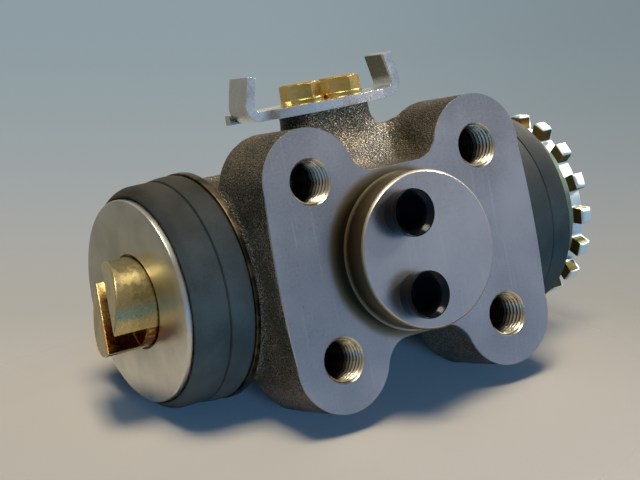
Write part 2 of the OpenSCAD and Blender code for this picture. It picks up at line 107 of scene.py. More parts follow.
class Finish:
    # one material and the nodes that make it, on Object coordinates
    def __init__(self, owner, shader="Principled BSDF", coordinates="Object"):
        self.material = owner
        owner.use_nodes = True
        self.tree = owner.node_tree
        self.shader = self.tree.nodes[shader]
        self.place = self.node("ShaderNodeTexCoord", {}, {}, coordinates)

    def node(self, kind, settings, sockets, output=0):
        made = self.tree.nodes.new(kind)
        for key, value in settings.items():
            if key == "stops":
                self.setStops(made.color_ramp.elements, value)
            else:
                setattr(made, key, value)
        for key, value in sockets.items():
            self.feed(made.inputs[key], value)
        return Wire(self, made.outputs[output])

    def setStops(self, elements, stops):
        while len(elements) < len(stops):
            elements.new(0.5)
        for element, (place, colour) in zip(elements, stops):
            element.position = place
            element.color = (*colour, 1)

    def feed(self, socket, value):
        if isinstance(value, Wire):
            self.tree.links.new(value.socket, socket)
        elif socket.type == "RGBA" and len(value) == 3:
            socket.default_value = (*value, 1)
        else:
            socket.default_value = value

    def axes(self):
        split = self.node("ShaderNodeSeparateXYZ", {}, {0: self.place})
        outs = split.socket.node.outputs
        return [Wire(self, outs[i]) for i in range(3)]

    def stretched(self, stretch):
        return self.node("ShaderNodeMapping", {}, {"Vector": self.place, "Scale": stretch})

    def noise(self, scale, detail=3.0, vector=None):
        sockets = {"Vector": vector or self.place, "Scale": scale, "Detail": detail}
        return self.node("ShaderNodeTexNoise", {}, sockets)

    def cells(self, scale):
        return self.node("ShaderNodeTexVoronoi", {}, {"Vector": self.place, "Scale": scale})

    def step(self, value, low, high, start=0.0, end=1.0):
        return self.node("ShaderNodeMapRange", {"interpolation_type": "SMOOTHSTEP"},
                         {0: value, 1: low, 2: high, 3: start, 4: end})

    def span(self, value, limits):
        # the same step between two places in millimetres
        return self.step(value, limits[0] * mm, limits[1] * mm)

    def mix(self, share, first, second):
        return self.node("ShaderNodeMix", {"data_type": "RGBA"}, {0: share, 6: first, 7: second}, 2)

    def ramp(self, value, stops):
        return self.node("ShaderNodeValToRGB", {"stops": stops}, {0: value})

    def bump(self, height, strength, distance):
        sockets = {"Strength": strength, "Distance": distance, "Height": height}
        return self.node("ShaderNodeBump", {}, sockets)

    def surface(self, sockets):
        for key, value in sockets.items():
            self.feed(self.shader.inputs[key], value)
        return self.material


# meshes

def newPiece(name, points, faces, material, body=None, smooth=40):
    # points in millimetres; edges sharper than smooth degrees stay sharp
    mesh = bpy.data.meshes.new(name)
    mesh.from_pydata((np.asarray(points) * mm).tolist(), [], np.asarray(faces).tolist())
    return dress(mesh, name, material, body, smooth)


def dress(mesh, name, material, body=None, smooth=40):
    mesh.materials.clear()
    mesh.materials.append(material)
    mesh.polygons.foreach_set("use_smooth", np.ones(len(mesh.polygons), bool))
    mesh.set_sharp_from_angle(angle=math.radians(smooth))
    piece = bpy.data.objects.new(name, mesh)
    bpy.context.scene.collection.objects.link(piece)
    if body:
        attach(piece, body)
    return piece


def gridFaces(rows, columns):
    # quads between neighbours on a grid whose rows and columns both close on themselves
    r, c = np.meshgrid(np.arange(rows), np.arange(columns), indexing="ij")
    nextR = (r + 1) % rows
    nextC = (c + 1) % columns
    ring = [r * columns + c, r * columns + nextC, nextR * columns + nextC, nextR * columns + c]
    return np.stack(ring, -1).reshape(-1, 4)


def softened(points, steps=4):
    # rounds each corner (x, r, radius): a quadratic curve between points set back along both sides
    spots = np.array([p[:2] for p in points], float)
    radii = np.array([p[2] if len(p) > 2 else 0 for p in points], float)
    before = np.roll(spots, 1, 0) - spots
    after = np.roll(spots, -1, 0) - spots
    lengths = [np.linalg.norm(v, axis=1, keepdims=True) for v in (before, after)]
    back = np.minimum(radii[:, None], 0.49 * np.minimum(*lengths))  # just under half of the shorter side
    start = spots + before / lengths[0] * back
    end = spots + after / lengths[1] * back
    t = np.linspace(0, 1, steps + 1)[None, :, None]
    curve = (1 - t) ** 2 * start[:, None] + 2 * t * (1 - t) * spots[:, None] + t ** 2 * end[:, None]
    flat = curve.reshape(-1, 2)
    keep = np.linalg.norm(flat - np.roll(flat, 1, 0), axis=1) > 1e-4
    return flat[keep]


def turned(profile, segments=192):
    # a closed profile of (x, r) carried round the bore axis
    x, r = profile[:, 0], profile[:, 1]
    angle = np.linspace(0, 2 * math.pi, segments, endpoint=False)
    points = np.stack([np.repeat(x[:, None], segments, 1), boreY + r[:, None] * np.cos(angle),
                       r[:, None] * np.sin(angle)], -1)
    return points.reshape(-1, 3), gridFaces(len(x), segments)


def outward(points, faces):
    # turns the faces round if the closed shape's volume comes out negative
    a, b, c, d = (points[faces[:, i]] for i in range(4))
    volume = np.einsum("ij,ij->", a, np.cross(b, c)) + np.einsum("ij,ij->", a, np.cross(c, d))
    return faces if volume > 0 else faces[:, ::-1]


def lathePiece(name, profile, material, body=None, smooth=40, segments=192):
    points, faces = turned(softened(profile), segments)
    return newPiece(name, points, outward(points, faces), material, body, smooth)


def nodeMesh(node):
    # a merged copy of a node's mesh with its flat faces joined
    mesh = frame["nodes"][node].data.copy()
    work = bmesh.new()
    work.from_mesh(mesh)
    bmesh.ops.remove_doubles(work, verts=work.verts, dist=0.002 * mm)
    bmesh.ops.dissolve_limit(work, angle_limit=math.radians(0.6), verts=work.verts, edges=work.edges)
    return mesh, work


bevelShape = {"segments": 3, "sharp": 32, "flat": 0.99}


def markRim(work, rim):
    # marks the sharp edges beyond the radius rim round the bore for the bevel
    sharp = math.radians(bevelShape["sharp"])
    weight = work.edges.layers.float.new("bevel_weight_edge")
    for edge in [e for e in work.edges if e.calc_face_angle(0) > sharp]:
        edge[weight] = min(math.hypot(v.co.y - boreY * mm, v.co.z) for v in edge.verts) > rim * mm


def flattenEnds(mesh):
    # faces square to the bore are shaded flat
    normals = np.empty(3 * len(mesh.polygons))
    mesh.polygons.foreach_get("normal", normals)
    mesh.polygons.foreach_set("use_smooth", np.abs(normals[::3]) < bevelShape["flat"])


def nodePiece(node, name, material, edge, rim=None):
    # a node copied, with its edges broken by a small bevel, or only those beyond the radius rim
    mesh, work = nodeMesh(node)
    if rim:
        markRim(work, rim)
    work.to_mesh(mesh)
    work.free()
    piece = dress(mesh, name, material, None, bevelShape["sharp"])
    if rim:
        flattenEnds(mesh)
    bevel = piece.modifiers.new("edge", "BEVEL")
    bevel.width = edge * mm
    bevel.segments = bevelShape["segments"]
    bevel.limit_method = "WEIGHT" if rim else "ANGLE"
    bevel.angle_limit = math.radians(bevelShape["sharp"])
    bevel.harden_normals = True
    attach(piece, bodyOf[node])
    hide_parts(node)
    return piece


# camera at the photograph's view

view = {"place": (-0.26645, -0.39209, 0.04672), "forward": (0.5194, 0.8504, -0.0835),
        "roll": 10.84, "lens": 103.0, "sensor": 36}


def makeCamera():
    forward = Vector(view["forward"]).normalized()
    level = forward.cross(Vector((0, 0, 1))).normalized()
    upright = level.cross(forward)
    roll = math.radians(view["roll"])
    right = level * math.cos(roll) - upright * math.sin(roll)
    up = upright * math.cos(roll) + level * math.sin(roll)
    data = bpy.data.cameras.new("view")
    data.lens = view["lens"]
    data.sensor_width = view["sensor"]
    camera = bpy.data.objects.new("view", data)
    turn = Matrix((right, up, -forward)).transposed().to_4x4()
    camera.matrix_world = Matrix.Translation(view["place"]) @ turn
    bpy.context.scene.collection.objects.link(camera)
    bpy.context.scene.camera = camera


makeCamera()
print("camera placed")

# finishes: pairs of numbers are where a change starts and ends, in millimetres or in noise

faceLook = {"steel": (0.43, 0.425, 0.43), "pale": (0.55, 0.54, 0.54), "scratched": (0.72, 0.71, 0.70),
            "cloud": 45, "grain": 1600, "scratch": 800, "scratchRun": (1.0, 1.0, 0.05)}


def machinedColour(f):
    # a faint cloud of lighter and darker steel, a fine even grain and a few light scratches
    cloud = f.noise(faceLook["cloud"], 4)
    grain = f.noise(faceLook["grain"], 2)
    scratch = f.step(f.noise(faceLook["scratch"], 2, f.stretched(faceLook["scratchRun"])), 0.60, 0.72)
    colour = f.mix(f.step(cloud * 0.75 + grain * 0.25, 0.35, 0.65), faceLook["steel"], faceLook["pale"])
    colour = f.mix(scratch * 0.3, colour, faceLook["scratched"])
    rough = f.step(grain * 0.5 + cloud * 0.5, 0.3, 0.7, 0.27, 0.36)
    return colour, rough, grain


castLook = {"dark": (0.022, 0.015, 0.003), "rust": (0.045, 0.015, 0.003), "flake": (0.46, 0.37, 0.24),
            "grain": 1700, "fine": 3600, "blotch": 90, "flakes": (0.48, 0.66), "relief": 0.30,
            "milled": (0.45, 0.30)}
spigotShadeLook = {"thick": (0.030, 0.024, 0.012), "thin": (0.23, 0.18, 0.085), "centre": (-3.0, 0.2), "ragged": 0.8,
           "thinning": (19.6, 22.2), "end": (23.8, 21.6), "cover": 0.92}
seamHighlightLook = {"bare": (0.75, 0.66, 0.50), "ring": (21.1, 20.9), "leftHalf": (4.0, -4.0), "cover": 0.8}


def castIron():
    # dark oxide skin with sand-blasted flakes, rusty low down; the milled face has painted shade round the
    # spigot, most of it to the left, and a thin painted highlight ring at the spigot's foot
    f = Finish(bpy.data.materials.new("castIron"))
    x, y, z = f.axes()
    milled = f.span(y, castLook["milled"])
    sand = f.cells(castLook["grain"]) * 0.8 + f.noise(castLook["fine"], 2) * 0.5
    blotch = f.noise(castLook["blotch"], 5)
    oxide = f.mix(f.step(blotch - z * 5, 0.45, 0.75), castLook["dark"], castLook["rust"])
    fleck = f.noise(castLook["fine"], 3) * 0.8 + blotch * 0.2
    flake = f.step(fleck, *castLook["flakes"]) * (1 - milled)
    steel, steelRough, grain = machinedColour(f)
    # painted shade on the milled face round the spigot, centred left of it: darkest close in and lighter
    # further out
    shadeX, shadeZ = spigotShadeLook["centre"]
    corner = ((x - shadeX * mm) ** 2 + (z - shadeZ * mm) ** 2) ** 0.5 + blotch * spigotShadeLook["ragged"] * mm
    oil = f.mix(f.span(corner, spigotShadeLook["thinning"]), spigotShadeLook["thick"], spigotShadeLook["thin"])
    steel = f.mix(f.span(corner, spigotShadeLook["end"]) * spigotShadeLook["cover"], steel, oil)
    # painted highlight: a thin bright ring at the spigot's foot, on its left half only
    seamHighlight = f.span((x * x + z * z) ** 0.5, seamHighlightLook["ring"]) * f.span(x, seamHighlightLook["leftHalf"])
    steel = f.mix(seamHighlight * seamHighlightLook["cover"], steel, seamHighlightLook["bare"])
    skin = f.mix(flake, oxide, castLook["flake"])
    height = sand * (1 - milled) + grain * milled * 0.02
    rough = f.step(sand, 0.2, 0.9, 0.30, 0.46) * (1 - milled) + steelRough * milled
    return f.surface({"Base Color": f.mix(milled, skin, steel), "Metallic": flake + milled,
                      "Roughness": rough, "Specular IOR Level": 0.2,
                      "Normal": f.bump(height, 1.0, castLook["relief"] * mm)})


collarLook = {"oily": (0.05, 0.04, 0.025), "bare": (0.17, 0.13, 0.08), "cloud": 240}


def collarSteel():
    # turned edge, dark with oil
    f = Finish(bpy.data.materials.new("collarSteel"))
    cloud = f.noise(collarLook["cloud"], 4)
    colour = f.mix(f.step(cloud, 0.35, 0.65), collarLook["oily"], collarLook["bare"])
    rough = f.step(cloud, 0.3, 0.7, 0.32, 0.48)
    return f.surface({"Base Color": colour, "Metallic": 1.0, "Roughness": rough})


spigotLook = {"bright": (0.72, 0.68, 0.65), "oily": (0.24, 0.195, 0.12), "dull": (0.30, 0.27, 0.20),
              "side": (20.25, 20.40), "foot": (1.0, 0.5), "edge": (20.10, 20.20), "face": (-7.2, -7.4)}


def machinedSteel():
    # the spigot's face is bright, its edge duller and its turned side painted dark brown as painted shade
    f = Finish(bpy.data.materials.new("machinedSteel"))
    x, y, z = f.axes()
    colour, rough, grain = machinedColour(f)
    r = (x * x + z * z) ** 0.5
    # painted shade: the turned side is dark brown all round
    side = f.span(r, spigotLook["side"]) * f.span(y, spigotLook["foot"])
    broken = f.span(r, spigotLook["edge"]) * f.span(y, spigotLook["face"])
    bright = f.mix(0.5, colour, spigotLook["bright"])
    face = f.mix(broken * 0.5, bright, spigotLook["dull"])
    return f.surface({"Base Color": f.mix(side, face, spigotLook["oily"]), "Metallic": 1.0,
                      "Roughness": rough + broken * 0.3, "Normal": f.bump(grain, 0.15, 0.02 * mm)})


threadLook = {"worn": (0.62, 0.54, 0.38), "bright": (0.85, 0.78, 0.62), "oil": (0.035, 0.028, 0.018),
              "inside": (0.012, 0.010, 0.008), "root": (5.35, 5.7), "belowMouth": (0.3, 0.6),
              "deep": (3.0, 9.0), "flat": (0.05, 0.02), "cloud": 300}


def threadSteel():
    # bright crests with painted shade in the roots, and more painted shade deeper in the hole; the flat
    # round the mouth is like the face
    f = Finish(bpy.data.materials.new("threadSteel"))
    x, y, z = f.axes()
    ax, az = (f.node("ShaderNodeMath", {"operation": "ABSOLUTE"}, {0: w}) for w in (x, z))
    r = ((ax - holeX * mm) ** 2 + (az - holeZ * mm) ** 2) ** 0.5
    cloud = f.noise(threadLook["cloud"], 3)
    crest = f.mix(cloud, threadLook["worn"], threadLook["bright"])
    # painted shade in the thread roots below the mouth
    rootShaded = f.span(r, threadLook["root"]) * f.span(y, threadLook["belowMouth"])
    wall = f.mix(rootShaded, crest, threadLook["oil"])
    # painted shade deeper in the hole
    wall = f.mix(f.span(y, threadLook["deep"]), wall, threadLook["inside"])
    steel, steelRough, grain = machinedColour(f)
    flat = f.span(y, threadLook["flat"])
    rough = f.step(cloud, 0.3, 0.7, 0.24, 0.36) * (1 - flat) + steelRough * flat
    return f.surface({"Base Color": f.mix(flat, wall, steel), "Metallic": 1.0, "Roughness": rough})


rubberLook = {"black": (0.041, 0.036, 0.024), "dusty": (0.069, 0.060, 0.039), "cloud": 70, "pores": 2200}


def bootRubber():
    # moulded rubber: dusty cloud, fine pores
    f = Finish(bpy.data.materials.new("bootRubber"))
    pores = f.noise(rubberLook["pores"], 2)
    dust = f.noise(rubberLook["cloud"], 5) + pores * 0.3
    colour = f.mix(f.step(dust, 0.45, 0.85), rubberLook["black"], rubberLook["dusty"])
    return f.surface({"Base Color": colour, "Roughness": f.step(dust, 0.4, 0.9, 0.60, 0.72),
                      "Specular IOR Level": 0.12, "Normal": f.bump(pores, 0.7, 0.12 * mm)})


coverLook = {"dull": (0.62, 0.60, 0.53), "bright": (0.77, 0.745, 0.67), "cloud": 120, "speck": 1100}


def coverSteel():
    # matt zinc on a pressed disc, with fine specks
    f = Finish(bpy.data.materials.new("coverSteel"))
    cloud = f.noise(coverLook["cloud"], 5)
    speck = f.noise(coverLook["speck"], 2)
    colour = f.mix(f.step(cloud, 0.3, 0.7), coverLook["dull"], coverLook["bright"])
    return f.surface({"Base Color": colour, "Metallic": 1.0,
                      "Roughness": f.step(cloud * 0.7 + speck * 0.3, 0.3, 0.7, 0.27, 0.38),
                      "Normal": f.bump(speck, 0.12, 0.03 * mm)})


paleGold = {"straw": (0.62, 0.50, 0.24), "amber": (0.36, 0.28, 0.10), "rough": (0.20, 0.36)}
deepGold = {"straw": (0.86, 0.62, 0.20), "amber": (0.52, 0.36, 0.10), "rough": (0.14, 0.26)}
goldLook = {"rose": (0.55, 0.20, 0.12), "roseShare": 0.45, "drift": 110, "fleck": 700}
slotRustAndShade = {"rust": (0.24, 0.085, 0.02), "turn": -40, "half": 3.75}


def goldChromate(name, gold, worn=False):
    # yellow passivation that drifts between straw, amber and a rosy tint; in the tappet's slot a rust red
    # that spreads lower down, partly rust and partly painted shade from the near prong
    f = Finish(bpy.data.materials.new(name))
    x, y, z = f.axes()
    drift = f.noise(goldLook["drift"], 4)
    fleck = f.noise(goldLook["fleck"], 3)
    share = goldLook["roseShare"]
    rosy = tuple((1 - share) * s + share * r for s, r in zip(gold["straw"], goldLook["rose"]))
    stops = [(0.25, gold["amber"]), (0.48, gold["straw"]), (0.62, gold["straw"]), (0.80, rosy)]
    colour = f.ramp(drift * 0.8 + fleck * 0.2, stops)
    if worn:
        turn = math.radians(slotRustAndShade["turn"])
        edge = (slotRustAndShade["half"] * mm) ** 2
        across = (y - boreY * mm) * math.cos(turn) + z * math.sin(turn)
        inSlot = f.step(across * across, edge * 1.01, edge * 0.99)
        # rust red, heavier lower down the slot as painted shade of the near prong
        rustAndShade = f.step(fleck * 0.6 + drift * 0.4 - z * 12, 0.42, 0.58)
        colour = f.mix(inSlot * rustAndShade, colour, slotRustAndShade["rust"])
    return f.surface({"Base Color": colour, "Metallic": 1.0,
                      "Roughness": f.step(fleck, 0.3, 0.7, *gold["rough"]),
                      "Normal": f.bump(fleck, 0.15, 0.03 * mm)})


wheelLook = {"bright": (0.84, 0.95, 0.92), "amber": (0.13, 0.08, 0.02), "olive": (0.07, 0.08, 0.03),
             "tip": (26.3, 26.6), "root": (23.15, 23.05), "face": (72.4, 72.7), "drift": 160, "fleck": 900}


def wheelChromate():
    # bright zinc on the tooth tips and the roots as painted highlights, and on the outer face; amber to
    # olive on their sides
    f = Finish(bpy.data.materials.new("wheelChromate"))
    x, y, z = f.axes()
    r = ((y - boreY * mm) ** 2 + z * z) ** 0.5
    drift = f.noise(wheelLook["drift"], 4)
    fleck = f.noise(wheelLook["fleck"], 3)
    sides = f.mix(f.step(drift, 0.40, 0.60), wheelLook["amber"], wheelLook["olive"])
    # painted highlights on the tips and roots, and bright zinc on the outer face
    highlightsAndFace = f.span(r, wheelLook["tip"]) + f.span(r, wheelLook["root"]) + f.span(x, wheelLook["face"])
    colour = f.mix(f.step(highlightsAndFace, 0.2, 0.8), sides, wheelLook["bright"])
    return f.surface({"Base Color": colour, "Metallic": 1.0,
                      "Roughness": f.step(fleck, 0.3, 0.7, 0.34, 0.46),
                      "Normal": f.bump(fleck, 0.2, 0.04 * mm)})


plateLook = {"dull": (0.74, 0.74, 0.69), "bright": (0.93, 0.94, 0.93), "drift": 140, "fleck": 1200}
earShadeLook = {"tarnish": (0.27, 0.27, 0.22), "lean": 0.231, "foot": 44.0, "inner": (20.5, 21.5),
           "outer": (23.6, 23.0), "rise": (44.0, 46.0), "front": (27.9, 28.2)}


def zincPlate():
    # bright zinc, with painted shade on the inside face of the right ear
    f = Finish(bpy.data.materials.new("zincPlate"))
    x, y, z = f.axes()
    drift = f.noise(plateLook["drift"], 4)
    fleck = f.noise(plateLook["fleck"], 3)
    colour = f.mix(f.step(drift, 0.35, 0.65), plateLook["dull"], plateLook["bright"])
    # painted shade on the inside face of the right ear
    through = x + (z - earShadeLook["foot"] * mm) * earShadeLook["lean"]
    inside = f.span(through, earShadeLook["inner"]) * f.span(through, earShadeLook["outer"])
    inside = inside * f.span(z, earShadeLook["rise"]) * f.span(y, earShadeLook["front"])
    return f.surface({"Base Color": f.mix(inside, colour, earShadeLook["tarnish"]), "Metallic": 1.0,
                      "Roughness": f.step(fleck, 0.3, 0.7, 0.24, 0.34),
                      "Normal": f.bump(fleck, 0.05, 0.03 * mm)})


plugLook = {"black": (0.002, 0.002, 0.002), "grey": (0.005, 0.005, 0.005), "cloud": 200}


def plugPlastic():
    # glossy black moulding
    f = Finish(bpy.data.materials.new("plugPlastic"))
    cloud = f.noise(plugLook["cloud"], 3)
    return f.surface({"Base Color": f.mix(cloud, plugLook["black"], plugLook["grey"]),
                      "Roughness": f.step(cloud, 0.3, 0.7, 0.12, 0.20), "Specular IOR Level": 0.18})


innerLook = {"piston": (0.72, 0.73, 0.75), "spring": (0.50, 0.51, 0.53), "lines": 900,
             "run": (1, 0.05, 0.05)}


def innerMetal(name, colour):
    # fine turning lines round the bore
    f = Finish(bpy.data.materials.new(name))
    lines = f.noise(innerLook["lines"], 2, f.stretched(innerLook["run"]))
    return f.surface({"Base Color": f.mix(lines, tuple(0.8 * c for c in colour), colour), "Metallic": 1.0,
                      "Roughness": f.step(lines, 0.3, 0.7, 0.25, 0.4)})


iron = castIron()
steel = machinedSteel()
thread = threadSteel()
collar = collarSteel()
rubber = bootRubber()
cover = coverSteel()
tappetGold = goldChromate("tappetGold", paleGold, True)
screwGold = goldChromate("screwGold", paleGold)
boltGold = goldChromate("boltGold", deepGold)
wheelPlating = wheelChromate()
zinc = zincPlate()
plug = plugPlastic()
print("finishes made")

# cast body: rounded unions of lobes, web, barrel, saddle and turret on a grid of distances

castShape = {"step": 0.75, "marginLow": (2.0, 2.6, 3.0), "marginHigh": (2.0, 2.0, 4.0),
             "lobeR": 13.8, "lobeDepth": 25.0, "lobeRound": 3.6,
             "waist": 21.8, "waistFillet": 6.5, "sideBow": 1.0, "webDepth": 22.0, "webRound": 2.0,
             "chamfer": 0.3, "chamferDepth": 0.75, "fillet": 2.4,
             "barrelR": 27.85, "collarR": 30.05, "flareFrom": 33.0, "collarX": 40.8, "endX": 42.0,
             "boreR": 19.05,
             "turretY": 29.6, "turretTop": 39.85, "turretR": 7.0, "turretHalf": 6.2, "turretFoot": 12.0,
             "turretFillet": 4.0, "lean": 3.0,
             "saddleHalf": 16.5, "saddleTop": 33.05, "saddleToe": 3.0, "saddleHollow": 0.65,
             "saddleSlope": 0.85, "saddleFillet": 3.0, "ripple": 0.10,
             "portX": -5.9, "portZ": 10.6, "portCut": 6.1, "portDepth": 6.0,
             "holeCut": 6.75, "holeDepth": 20.0}


def roundUnion(a, b, k):
    # union whose inner corner is a fillet of radius k
    return np.maximum(k, np.minimum(a, b)) - np.hypot(np.maximum(k - a, 0), np.maximum(k - b, 0))


def roundCut(a, b, k):
    # intersection whose outer corner is rounded by radius k
    return np.minimum(-k, np.maximum(a, b)) + np.hypot(np.maximum(k + a, 0), np.maximum(k + b, 0))


def flangeField(ax, az, y, z):
    # four round lobes joined by a bowed web, deeper at the lobes, with a small chamfer at the mounting face
    s = castShape
    lobe = np.hypot(ax - holeX, az - holeZ) - s["lobeR"]
    waist = np.maximum(ax - holeX, az - s["waist"])
    bow = s["sideBow"] * (1 - (z / holeZ) ** 2)
    side = np.maximum(ax - (holeX + s["lobeR"] + bow), az - s["waist"])
    outline = np.minimum(roundUnion(lobe, waist, s["waistFillet"]), side)
    outline = outline + s["chamfer"] * np.clip(1 - y / s["chamferDepth"], 0, 1.8)
    web = roundCut(outline, y - s["webDepth"], s["webRound"])
    return np.minimum(web, roundCut(lobe, y - s["lobeDepth"], s["lobeRound"]))


def barrelField(ax, y, z):
    # a cylinder round the bore that flares by the square of the way to its collar
    s = castShape
    rise = np.clip((ax - s["flareFrom"]) / (s["collarX"] - s["flareFrom"]), 0, 1)
    barrelR = s["barrelR"] + (s["collarR"] - s["barrelR"]) * rise ** 2
    return np.hypot(y - boreY, z) - barrelR


def saddleField(ax, y, z):
    # a ramp from the flange to the turret whose height is part straight and part square, so it is hollow
    s = castShape
    front = s["turretY"] - s["turretR"]
    t = np.clip((y - s["saddleToe"]) / (front - s["saddleToe"]), 0, 1)
    height = s["waist"] + (s["saddleTop"] - s["waist"]) * t * (1 - s["saddleHollow"] + s["saddleHollow"] * t)
    saddle = np.maximum((z - height) * s["saddleSlope"], ax - s["saddleHalf"])
    return np.maximum(np.maximum(saddle, y - s["turretY"] - s["turretR"]), -z)


def turretField(ax, y, z):
    # a leaning post with round ends
    s = castShape
    lean = math.radians(s["lean"])
    across = (y - s["turretY"]) * math.cos(lean) + (z - s["turretTop"]) * math.sin(lean)
    turret = np.hypot(np.maximum(ax - s["turretHalf"], 0), across) - s["turretR"]
    return np.maximum(turret, s["turretFoot"] - z)


def castField(x, y, z):
    # distance to the casting's skin in millimetres, negative inside, with a faint ripple of three sines
    s = castShape
    ax, az = np.abs(x), np.abs(z)
    body = roundUnion(flangeField(ax, az, y, z), barrelField(ax, y, z), s["fillet"])
    body = roundUnion(body, saddleField(ax, y, z), s["saddleFillet"])
    body = roundUnion(body, turretField(ax, y, z), s["turretFillet"])
    ripple = np.sin(x * 0.9 + 1.3 * np.sin(y * 0.7)) * np.sin(y * 0.83 + 2.0)
    ripple = ripple * np.sin(z * 0.77 + 1.1 * np.sin(x * 0.6))
    body = body + s["ripple"] * ripple * np.clip(y - 1.0, 0, 1)
    bore = s["boreR"] - np.hypot(y - boreY, z)
    hole = np.hypot(ax - holeX, az - holeZ) - s["holeCut"]
    hole = np.maximum(-np.maximum(hole, y - s["holeDepth"]), bore)
    port = -np.maximum(np.hypot(x - s["portX"], az - s["portZ"]) - s["portCut"], y - s["portDepth"])
    return np.maximum(np.maximum(body, ax - s["endX"]), np.maximum(hole, port))


def surfaceNet(field, low, step):
    # a point in each cell that the skin crosses, at the mean of its edge crossings,
    # and a quad over each crossed edge
    inside = field < 0
    size = np.array(field.shape) - 1
    corners = list(product((0, 1), repeat=3))
    shifted = [inside[i:size[0] + i, j:size[1] + j, k:size[2] + k] for i, j, k in corners]
    count = sum(part.astype(np.int8) for part in shifted)
    cells = np.stack(np.nonzero((count > 0) & (count < 8)), -1)
    total = np.zeros((len(cells), 3))
    weight = np.zeros((len(cells), 1))
    for axis in range(3):
        along = np.eye(3, dtype=int)[axis]
        for corner in (c for c in corners if c[axis] == 0):
            start = cells + np.array(corner)
            end = start + along
            a = field[tuple(start.T)]
            b = field[tuple(end.T)]
            crossed = (a < 0) != (b < 0)
            share = np.where(crossed, a / np.where(crossed, a - b, 1), 0)
            total += crossed[:, None] * (np.array(corner) + share[:, None] * along)
            weight += crossed[:, None]
    points = low + (cells + total / weight) * step
    index = np.full(size, -1)
    index[tuple(cells.T)] = np.arange(len(cells))
    quads = []
    for axis in range(3):
        u, v = np.eye(3, dtype=int)[[(axis + 1) % 3, (axis + 2) % 3]]
        first = np.moveaxis(inside, axis, 0)[:-1]
        second = np.moveaxis(inside, axis, 0)[1:]
        edges = np.stack(np.nonzero(np.moveaxis(first != second, 0, axis)), -1)
        across = np.stack([u, v], 1)
        within = (edges @ across > 0) & (edges @ across < size @ across)
        edges = edges[np.all(within, 1)]
        ring = [index[tuple((edges - du * u - dv * v).T)] for du, dv in ((1, 1), (0, 1), (0, 0), (1, 0))]
        quad = np.stack(ring, -1)
        leaving = inside[tuple(edges.T)]
        quads.append(np.where(leaving[:, None], quad, quad[:, ::-1]))
    return points, np.concatenate(quads)


def cutFlat(work, point, normal):
    # cuts away what lies beyond a plane and closes the cut with one flat face
    geometry = work.verts[:] + work.edges[:] + work.faces[:]
    cut = bmesh.ops.bisect_plane(work, geom=geometry, plane_co=Vector(point) * mm, plane_no=normal,
                                 clear_outer=True)
    rim = [e for e in cut["geom_cut"] if isinstance(e, bmesh.types.BMEdge)]
    bmesh.ops.triangle_fill(work, edges=rim, use_beauty=True, use_dissolve=False, normal=normal)


def makeCasting():
    s = castShape
    low = np.array([-s["endX"], 0, -holeZ - s["lobeR"]]) - np.array(s["marginLow"])
    high = np.array([s["endX"], boreY + s["collarR"], s["turretTop"]]) + np.array(s["marginHigh"])
    counts = np.ceil((high - low) / s["step"]).astype(int)
    spans = [low[i] + s["step"] * np.arange(counts[i]) for i in range(3)]
    field = castField(*np.meshgrid(*spans, indexing="ij"))
    points, quads = surfaceNet(field, low, s["step"])
    mesh = bpy.data.meshes.new("castBody")
    mesh.from_pydata((points * mm).tolist(), [], quads.tolist())
    work = bmesh.new()
    work.from_mesh(mesh)
    cutFlat(work, (0, 0, 0), (0, -1, 0))
    lean = math.radians(s["lean"])
    cutFlat(work, (0, s["turretY"], s["turretTop"]), (0, -math.sin(lean), math.cos(lean)))
    bmesh.ops.recalc_face_normals(work, faces=work.faces)
    work.to_mesh(mesh)
    work.free()
    piece = dress(mesh, "castBody", iron, "housing", 50)
    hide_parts("cylinder_body")
    print("casting has", len(mesh.polygons), "faces")


makeCasting()

spigotShape = {"foot": 0.02, "room": 0.1}


def makeSpigot():
    # the node's own turned spigot, cut off just behind the mounting face
    mesh, work = nodeMesh("cylinder_body")
    cutFlat(work, (0, spigotShape["foot"], 0), (0, 1, 0))
    reach = (mountDims["spigot"]["r_mm"] + spigotShape["room"]) * mm
    loose = [v for v in work.verts if math.hypot(v.co.x, v.co.z) > reach]
    bmesh.ops.delete(work, geom=loose, context="VERTS")
    work.to_mesh(mesh)
    work.free()
    piece = dress(mesh, "spigot", steel, "housing", 12)


makeSpigot()

collarShape = {"inner": 40.0, "neckR": 29.6, "shoulderR": 29.9, "collarR": 30.65, "collarX": 43.0,
               "seatR": 25.45, "seatX": 51.0}


def makeCollars():
    # a turned collar at each end of the barrel, with the boot's seat beyond it
    s = collarShape
    boreR, shoulderX = castShape["boreR"], castShape["collarX"]
    profile = [(s["inner"], boreR), (s["inner"], s["neckR"]), (shoulderX, s["shoulderR"]),
               (shoulderX, s["collarR"], 0.3), (s["collarX"], s["collarR"], 0.3), (s["collarX"], s["seatR"]),
               (s["seatX"], s["seatR"], 0.5), (s["seatX"], boreR, 0.8)]
    for name, side in (("leftCollar", -1), ("rightCollar", 1)):
        piece = lathePiece(name, [(side * p[0], *p[1:]) for p in profile], collar, "housing", 30)


makeCollars()

tapShape = {"pitch": 1.5, "major": 6.0, "minor": 5.1, "mouth": 6.1, "outer": 7.1, "depth": 16.0,
            "proud": 0.012, "segments": 96, "rows": 10}


